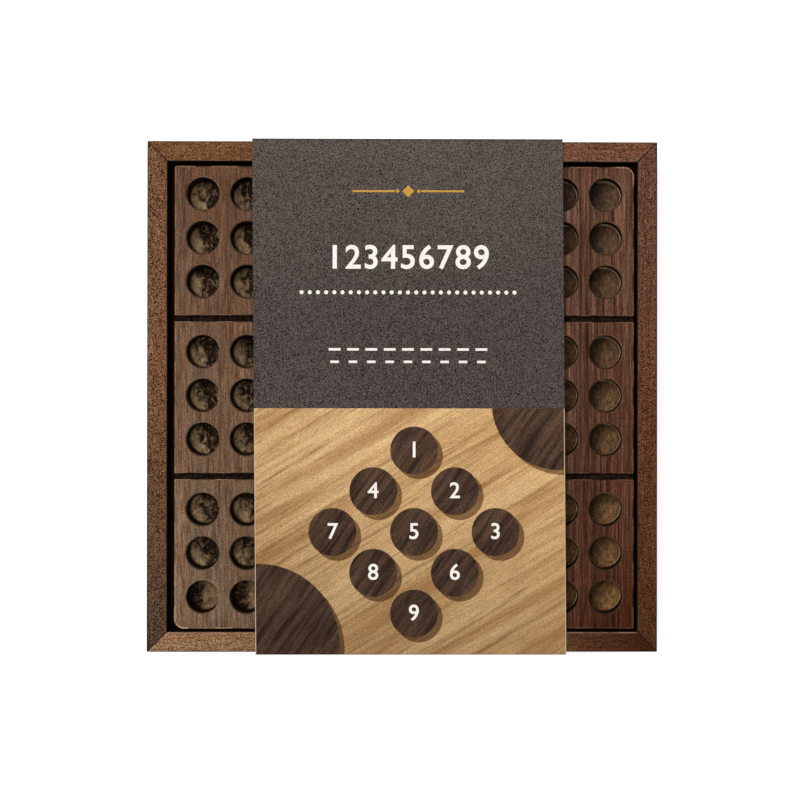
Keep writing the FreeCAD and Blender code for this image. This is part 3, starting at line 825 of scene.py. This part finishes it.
def oak_print():
    """The oak print, with two large discs that run off it and the bare core in a hair line at its edges."""
    material, tree, surface = new_material("oak_print")
    tooth = card_tooth(tree, surface)
    tone = oak_tone(tree, tooth)
    tone = blended(tree, on_large_disc(tree, SHADOW_STEP), tone, times(tree, tone, PRINT_SHADOW))
    tone = blended(tree, on_large_disc(tree, 0.0), tone, disc_tone(tree, tooth))
    lean = reckon(tree, "MULTIPLY_ADD", placed(tree, "y"), SKEW / card_size.y, -card_middle.x)
    from_middle = reckon(tree, "ABSOLUTE", reckon(tree, "ADD", placed(tree, "x"), lean))
    margin = spread(tree, from_middle, card_width / 2 - CUT_MARGIN, card_width / 2 - CUT_MARGIN * 0.6)
    plug(tree, surface.inputs["Base Color"], blended(tree, margin, tone, colour(200, 178, 146)))
    return material


def plain_paper(name, tint, depth):
    """Bare paper or card core, with soft fibres."""
    material, tree, surface = new_material(name)
    fibre = pattern(tree, (1400, 1400, 1400), 0, 4.0, 0.6)
    plug(tree, surface.inputs["Base Color"], times(tree, colour(*tint), swing(tree, fibre, 0.07)))
    surface.inputs["Roughness"].default_value = 0.85
    surface.inputs["Specular IOR Level"].default_value = 0.2
    bump(tree, surface, fibre, depth, 0.5)
    return material


charcoal = charcoal_print()
inside_card = plain_paper("bare_card", (214, 208, 198), 0.015 * MM)
card_core = plain_paper("card_core", (176, 162, 146), 0.02 * MM)

bpy.ops.mesh.primitive_grid_add(x_subdivisions=16, y_subdivisions=32, size=1)
sleeve = bpy.context.object
sleeve.name = "sleeve"
sleeve.scale = (card_width, card_size.y, 1)
sleeve.location = (card_middle.x, card_middle.y, card_high.z)
settle(sleeve)
# the strip goes down the back, under the box, and up the front
back, front = card_high.y, card_low.y
folds = (
    (back, card_high.z, (0, 0, -card_size.z)),
    (back, card_low.z, (0, -card_size.y, 0)),
    (front, card_low.z, (0, 0, card_size.z)),
)
for at_y, at_z, move in folds:
    pick_edges(
        sleeve,
        lambda a, b: all(abs(p.y - at_y) + abs(p.z - at_z) < 0.01 * MM for p in (a, b)),
    )
    bpy.ops.mesh.extrude_region_move(TRANSFORM_OT_translate={"value": move})
    leave_edit()
pick_faces(sleeve, lambda face: True)
bpy.ops.mesh.remove_doubles(threshold=0.01 * MM)
bpy.ops.mesh.normals_make_consistent(inside=False)
bpy.ops.mesh.bisect(plane_co=(0, PRINT_EDGE, 0), plane_no=(0, 1, 0))
leave_edit()
pick_edges(
    sleeve,
    lambda a, b: abs(a.y - b.y) + abs(a.z - b.z) < 0.01 * MM
    and min(abs(a.y - back), abs(a.y - front)) < 0.01 * MM
    and min(abs(a.z - card_high.z), abs(a.z - card_low.z)) < 0.01 * MM,
)
bpy.ops.mesh.bevel(offset=FOLD, segments=4, affect="EDGES")
leave_edit()
for material in (charcoal, oak_print(), inside_card, inside_card, card_core, card_core):
    sleeve.data.materials.append(material)
for face in sleeve.data.polygons:
    is_oak = face.center.y < PRINT_EDGE and face.center.z > card_low.z + 0.1 * MM
    face.material_index = 1 if is_oak else 0
for point in sleeve.data.vertices:
    if abs(point.co.z - card_high.z) < 0.001 * MM:
        point.co.z = card_top(point.co.x, point.co.y)
    point.co.x -= SKEW * point.co.y / card_size.y
modify(
    sleeve,
    "SOLIDIFY",
    thickness=CARD,
    offset=-1,
    use_even_offset=True,
    material_offset=2,
    material_offset_rim=4,
)
shade(sleeve, 50)
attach(sleeve, "sleeve")
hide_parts("card_sleeve")

# The sleeve's print is thin ink: plain white figures, rows of dots and dashes and a small gold device on
# the charcoal, and dark wooden discs with plain figures, and their shadows, on the oak.
INK = 0.012 * MM
INK_BODY = 0.05 * MM
FIGURE_SHARE = 0.73
PRINT_LEAN = -0.4 * MM


def plain_ink(name, tint, roughness=0.6):
    """Flat ink that lets a little of the board's tooth through."""
    material, tree, surface = new_material(name)
    tooth = card_tooth(tree, surface)
    surface.inputs["Roughness"].default_value = roughness
    thin = spread(tree, tooth, 0.60, 0.78, 0.0, 0.3)
    plug(tree, surface.inputs["Base Color"], blended(tree, thin, colour(*tint), colour(120, 112, 106)))
    return material


def printed_shadow():
    """The oak print under a soft shadow."""
    material, tree, surface = new_material("printed_shadow")
    tone = oak_tone(tree, card_tooth(tree, surface))
    plug(tree, surface.inputs["Base Color"], times(tree, tone, PRINT_SHADOW))
    return material


def printed_disc():
    """The dark ink of the small discs."""
    material, tree, surface = new_material("printed_disc")
    plug(tree, surface.inputs["Base Color"], disc_tone(tree, card_tooth(tree, surface)))
    return material


white_ink = plain_ink("white_ink", (246, 243, 238))
gold_ink = plain_ink("gold_ink", (198, 152, 66), 0.45)
shadow_print = printed_shadow()
disc_print = printed_disc()


def thicken(flat, weight):
    """Move the outline of a flat mesh outwards by weight, and its counters inwards."""
    points = flat.data.vertices
    faces_on = {}
    for face in flat.data.polygons:
        for edge in face.edge_keys:
            faces_on.setdefault(edge, []).append(face)
    pushes = {}
    for (a, b), faces in faces_on.items():
        if len(faces) > 1:
            continue
        side = (points[b].co - points[a].co).cross(Vector((0, 0, 1))).normalized()
        if side.dot(faces[0].center - points[a].co) > 0:
            side.negate()
        for point in (a, b):
            pushes[point] = pushes.get(point, Vector()) + side
    for point, push in pushes.items():
        points[point].co += push * (2 * weight / max(push.length_squared, 0.5))


def figure(text, x, y, height, weight):
    """A plain figure of a given height, centred, its strokes thickened by weight, as a flat mesh."""
    bpy.ops.object.text_add(location=(x, y, 0))
    made = bpy.context.object
    made.data.body = text
    made.data.size = height / FIGURE_SHARE
    made.data.align_x = "CENTER"
    made.data.align_y = "CENTER"
    made.data.resolution_u = 4
    take(made)
    bpy.ops.object.convert(target="MESH")
    thicken(bpy.context.object, weight)
    return bpy.context.object


def disc(x, y, radius, vertices=48):
    """A flat disc."""
    bpy.ops.mesh.primitive_circle_add(vertices=vertices, radius=radius, fill_type="NGON", location=(x, y, 0))
    return bpy.context.object


def bar(x, y, width, height, turn=0.0):
    """A flat rectangle, turned about its middle."""
    bpy.ops.mesh.primitive_plane_add(size=1, location=(x, y, 0), rotation=(0, 0, turn))
    made = bpy.context.object
    made.scale = (width, height, 1)
    return made


def joined_flat(things, name):
    """Join flat shapes, with their places in the mesh and no material."""
    for thing in things:
        settle(thing)
    whole = join(things, name)
    whole.data.materials.clear()
    return whole


def lay_on_card(things, material, name, coat=1):
    """Lay flat shapes on the sleeve's top as ink with a little body, coat counting the layers of ink."""
    whole = joined_flat(things, name)
    for point in whole.data.vertices:
        point.co.z = card_top(point.co.x, point.co.y) + coat * INK
    modify(whole, "SOLIDIFY", thickness=INK_BODY, offset=-1)
    whole.data.materials.append(material)
    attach(whole, "sleeve")


label_x = card_middle.x + PRINT_LEAN
FIGURE_ROW = 42.2 * MM
FIGURE_STEP = 5.6 * MM
figures = range(1, 10)
row = [figure(str(n), label_x + (n - 5) * FIGURE_STEP, FIGURE_ROW, 7.4 * MM, 0.15 * MM) for n in figures]
lay_on_card(row, white_ink, "figure_row")
DOT_ROW = 31.8 * MM
dots = [disc(label_x + (n - 13) * 2.5 * MM, DOT_ROW, 0.62 * MM, vertices=16) for n in range(27)]
lay_on_card(dots, white_ink, "dot_row")
DASH_ROWS = {14.4 * MM: 3.6 * MM, 10.6 * MM: 2.6 * MM}
dashes = []
for y, run in DASH_ROWS.items():
    dashes += [bar(label_x + (n - 4) * FIGURE_STEP, y, run, 0.75 * MM) for n in range(9)]
lay_on_card(dashes, white_ink, "dash_rows")
GOLD_ROW = 62.7 * MM
device = [bar(label_x, GOLD_ROW, 2.6 * MM, 2.6 * MM, math.pi / 4)]
for side in (-1, 1):
    device.append(bar(label_x + side * 10.5 * MM, GOLD_ROW, 13 * MM, 0.6 * MM))
    device.append(bar(label_x + side * 3.2 * MM, GOLD_ROW, 0.9 * MM, 0.9 * MM, math.pi / 4))
lay_on_card(device, gold_ink, "gold_device")

# The small printed discs stand in a square on its corner, each with its figure and its shadow.
DISC_PITCH = 17.6 * MM
DISC_RADIUS = 7.3 * MM
GROUP_CENTRE = (card_middle.x + 1.5 * MM, -41.3 * MM)
shadows, discs, numbers = [], [], []
for down in range(3):
    for across in range(3):
        x = GROUP_CENTRE[0] + (across - down) * DISC_PITCH / math.sqrt(2)
        y = GROUP_CENTRE[1] + (2 - across - down) * DISC_PITCH / math.sqrt(2)
        shadows.append(disc(x + SHADOW_STEP, y - SHADOW_STEP, DISC_RADIUS))
        discs.append(disc(x, y, DISC_RADIUS))
        numbers.append(figure(str(3 * down + across + 1), x, y, 5.0 * MM, 0.08 * MM))
lay_on_card(shadows, shadow_print, "disc_shadows")
lay_on_card(discs, disc_print, "discs", 2)
lay_on_card(numbers, white_ink, "disc_figures", 3)

# The pegs are short dowels of dark wood with domed ends, one end stamped with a white figure. They lie
# in rows in the tray, as they do when the box is packed.
PEG_RADIUS = 4.0 * MM
PEG_LENGTH = 19.0 * MM
PEG_GAP = 0.3 * MM
PEGS_IN_A_ROW = 7
PEG_RIM = 0.3 * MM
first_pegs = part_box("pegs_1")
peg_level = (first_pegs[0].z + first_pegs[1].z) / 2
first_row = first_pegs[1].y - PEG_RADIUS
dowel_stain, tree, surface = new_material("dowel_stain")
dowel_tone = fade(tree, "x", 70 * MM, stained((96, 62, 44)), stained((78, 49, 36)))
plug(tree, surface.inputs["Base Color"], grained(tree, surface, dowel_tone, "x", 21, 0.3, 0.4, 0.4, 0.45))

bpy.ops.mesh.primitive_cylinder_add(
    vertices=28, radius=PEG_RADIUS, depth=PEG_LENGTH, rotation=(0, math.pi / 2, 0)
)
blank = bpy.context.object
settle(blank)
pick_faces(blank, lambda face: abs(face.normal.x) > 0.9)
bpy.ops.mesh.inset(thickness=0.28 * PEG_RADIUS)
bpy.ops.mesh.inset(thickness=0.34 * PEG_RADIUS)
leave_edit()


def dome(y, z):
    """How far a peg's domed end reaches from its middle, at a place on the end."""
    return math.sqrt((PEG_LENGTH / 2) ** 2 - y * y - z * z)


for point in blank.data.vertices:
    point.co.x = math.copysign(dome(point.co.y, point.co.z), point.co.x)
modify(blank, "BEVEL", width=PEG_RIM, segments=2, limit_method="ANGLE", angle_limit=math.radians(50))
blank.data.materials.append(dowel_stain)
blank.data.materials.append(white_ink)
onto_end = Matrix.Rotation(math.pi / 2, 4, "Z") @ Matrix.Rotation(math.pi / 2, 4, "X")

for peg_figure in figures:
    pegs = []
    for slot in range((peg_figure - 1) * 9, peg_figure * 9):
        row, column = divmod(slot, PEGS_IN_A_ROW)
        x = (column - (PEGS_IN_A_ROW - 1) / 2) * (PEG_LENGTH + PEG_GAP)
        y = first_row - row * (2 * PEG_RADIUS + PEG_GAP)
        stamp = figure(str(peg_figure), 0, 0, 4.2 * MM, 0.08 * MM)
        stamp.data.transform(onto_end)
        for point in stamp.data.vertices:
            point.co.x = dome(point.co.y, point.co.z) - 0.01 * MM
        stamp.data.materials.clear()
        stamp.data.materials.append(white_ink)
        peg = join([copy_of(blank, "peg"), stamp], "peg")
        turn = Matrix.Rotation(noise.cell(Vector((slot * 7.3, 1.5, 2.5))) * math.tau, 4, "X")
        peg.data.transform(Matrix.Translation((x, y, peg_level)) @ turn)
        pegs.append(peg)
    group = join(pegs, f"peg_set_{peg_figure}")
    shade(group)
    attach(group, "box")
    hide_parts(f"pegs_{peg_figure}")
bpy.data.objects.remove(blank)

# The guide is a few sheets folded into a cover and stapled. The cover is printed like the sleeve, with
# an empty nine by nine grid.
SHEET = 0.25 * MM
SPINE_ROUND = 0.45 * MM
GRID_SIDE = 81 * MM
HEAVY_RULE = 0.9 * MM
LIGHT_RULE = 0.35 * MM
cover_low, cover_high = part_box("guide_cover")
cover_high.z -= 3 * INK
finish_node("guide_pages", plain_paper("page_paper", (236, 231, 220), 0.01 * MM))
bpy.ops.mesh.primitive_cube_add(size=1, location=(cover_low + cover_high) / 2)
cover = bpy.context.object
cover.scale = cover_high - cover_low
settle(cover)
pick_faces(cover, lambda face: face.normal.x > 0.9 or abs(face.normal.y) > 0.9)
bpy.ops.mesh.delete(type="FACE")
leave_edit()
pick_edges(cover, lambda a, b: max(a.x, b.x) < cover_low.x + 0.01 * MM and abs(a.z - b.z) < 0.01 * MM)
bpy.ops.mesh.bevel(offset=SPINE_ROUND, segments=4, affect="EDGES")
leave_edit()
modify(cover, "SOLIDIFY", thickness=SHEET, offset=-1)
cover.data.materials.append(charcoal)
cover.name = "guide_wrap"
shade(cover, 50)
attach(cover, "box")
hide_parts("guide_cover")
upright, level = [], []
for n in range(10):
    place = (n / 9 - 0.5) * GRID_SIDE
    width = HEAVY_RULE if n % 3 == 0 else LIGHT_RULE
    upright.append(bar(place, 0, width, GRID_SIDE + HEAVY_RULE))
    level.append(bar(0, place, GRID_SIDE + HEAVY_RULE, width))
for coat, rules in enumerate((upright, level), 1):
    for rule in rules:
        rule.location.z = cover_high.z + coat * INK
grid = joined_flat(upright + level, "guide_grid")
modify(grid, "SOLIDIFY", thickness=INK_BODY, offset=-1)
grid.data.materials.append(white_ink)
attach(grid, "box")
